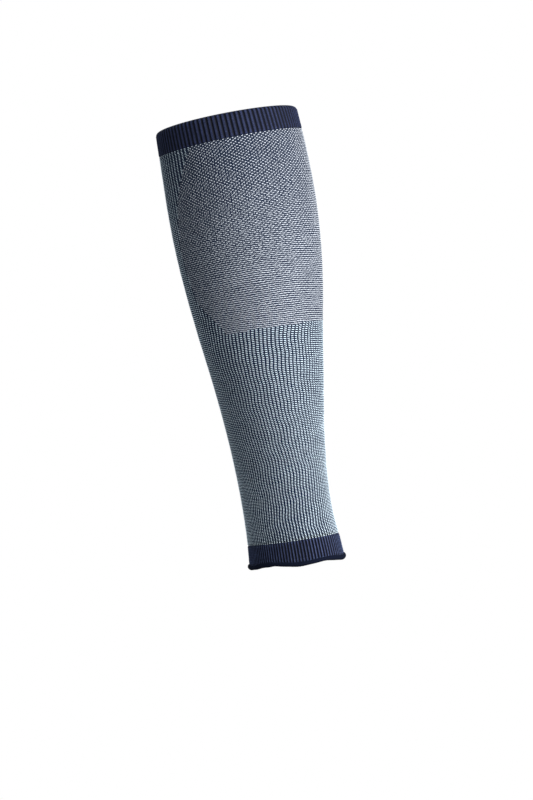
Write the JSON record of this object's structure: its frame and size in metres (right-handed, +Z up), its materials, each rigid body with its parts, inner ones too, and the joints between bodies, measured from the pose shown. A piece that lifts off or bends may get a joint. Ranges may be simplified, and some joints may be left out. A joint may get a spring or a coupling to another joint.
{
  "type": "calf compression sleeve",
  "caption": "Seamless knitted calf compression sleeve in its worn, hollow form: ribbed welts at knee and ankle, dotted leg, rolled lower edge.",
  "frame": {"origin": "on the leg's middle line at the calf's fullest girth, where the leg holds the sleeve", "axes": "+Z up towards the knee, -Y towards the shin, +Y towards the calf; the sleeve leans 9 degrees with the leg"},
  "size_m": [0.129, 0.1285, 0.3473],
  "materials": {
    "welt_knit": "navy nylon and elastane rib knit, matt with a soft sheen at the edges",
    "leg_knit": "navy ground with pale grey-blue stitches, fine-gauge compression knit, matt",
    "roll_knit": "dark navy curled knit edge, matt"
  },
  "bodies": {
    "root": {"top_welt": "welt_knit", "leg_tube": "leg_knit", "ankle_welt": "welt_knit", "rolled_edge": "roll_knit"}
  },
  "joints": []
}
